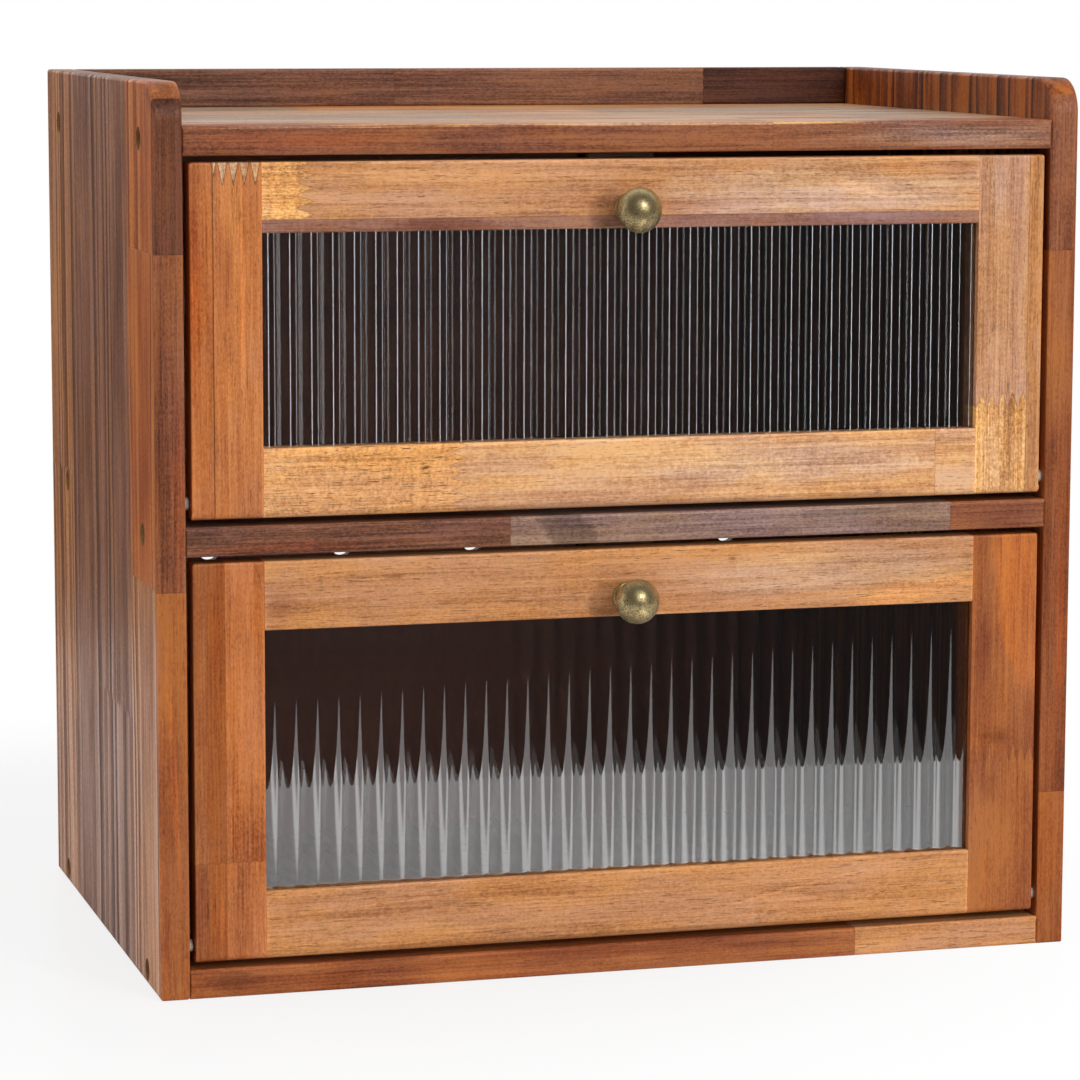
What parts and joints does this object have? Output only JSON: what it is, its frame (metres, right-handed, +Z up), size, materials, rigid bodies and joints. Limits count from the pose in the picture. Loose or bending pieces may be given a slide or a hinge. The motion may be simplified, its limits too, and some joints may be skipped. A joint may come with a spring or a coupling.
{
  "type": "bread box",
  "caption": "Two-tier stained pine bread box: a case with a gallery top and two drop-front doors with reeded panes, round brass knobs, corner pivots and magnetic catches.",
  "frame": {"origin": "centre of the case's footprint, on the surface that it stands on; the doors' knobs stand out in front and don't count", "axes": "+Z up, +X to the right as seen from the front, +Y from the doors to the back panel"},
  "size_m": [0.39, 0.2805, 0.367],
  "materials": {
    "case_pine": "brown stained pine, satin lacquer, laminated and finger-jointed staves",
    "door_pine": "honey to tan stained pine, satin lacquer, finger-jointed",
    "back_ply": "brown stained thin panel, satin",
    "dowel_wood": "raw hardwood dowel",
    "reeded_glass": "clear pane, glossy, ribbed on the front",
    "antique_brass": "antique brass, mottled and lightly polished",
    "screw_steel": "zinc-plated steel, satin",
    "pin_steel": "bright steel pin",
    "strike_steel": "nickel-plated steel plate, satin",
    "nylon": "white nylon, satin",
    "catch_plastic": "brown moulded plastic, satin",
    "magnet_ferrite": "dark sintered magnet, matt"
  },
  "bodies": {
    "case": {"left_side_panel": "case_pine", "right_side_panel": "case_pine", "top_board": "case_pine", "middle_shelf": "case_pine", "bottom_board": "case_pine", "back_panel": "back_ply", "back_rail": "case_pine", "back_rail_dowels": "dowel_wood", "left_side_screws": "screw_steel", "right_side_screws": "screw_steel", "upper_catch_body": "catch_plastic", "upper_catch_magnet": "magnet_ferrite", "upper_catch_screws": "screw_steel", "lower_catch_body": "catch_plastic", "lower_catch_magnet": "magnet_ferrite", "lower_catch_screws": "screw_steel", "upper_left_bush": "nylon", "upper_right_bush": "nylon", "lower_left_bush": "nylon", "lower_right_bush": "nylon"},
    "upper_door": {"upper_left_stile": "door_pine", "upper_right_stile": "door_pine", "upper_top_rail": "door_pine", "upper_bottom_rail": "door_pine", "upper_door_dowels": "dowel_wood", "upper_pane": "reeded_glass", "upper_knob": "antique_brass", "upper_knob_screw": "screw_steel", "upper_strike_plate": "strike_steel", "upper_strike_screws": "screw_steel", "upper_left_pin": "pin_steel", "upper_right_pin": "pin_steel"},
    "lower_door": {"lower_left_stile": "door_pine", "lower_right_stile": "door_pine", "lower_top_rail": "door_pine", "lower_bottom_rail": "door_pine", "lower_door_dowels": "dowel_wood", "lower_pane": "reeded_glass", "lower_knob": "antique_brass", "lower_knob_screw": "screw_steel", "lower_strike_plate": "strike_steel", "lower_strike_screws": "screw_steel", "lower_left_pin": "pin_steel", "lower_right_pin": "pin_steel"}
  },
  "joints": [
    {"name": "upper_door_hinge", "type": "hinge", "parent": "case", "child": "upper_door", "pos_m": [0, -0.1235, 0.2005], "axis": [1, 0, 0], "range_deg": [0, 105]},
    {"name": "lower_door_hinge", "type": "hinge", "parent": "case", "child": "lower_door", "pos_m": [0, -0.1235, 0.0211], "axis": [1, 0, 0], "range_deg": [0, 86]}
  ]
}
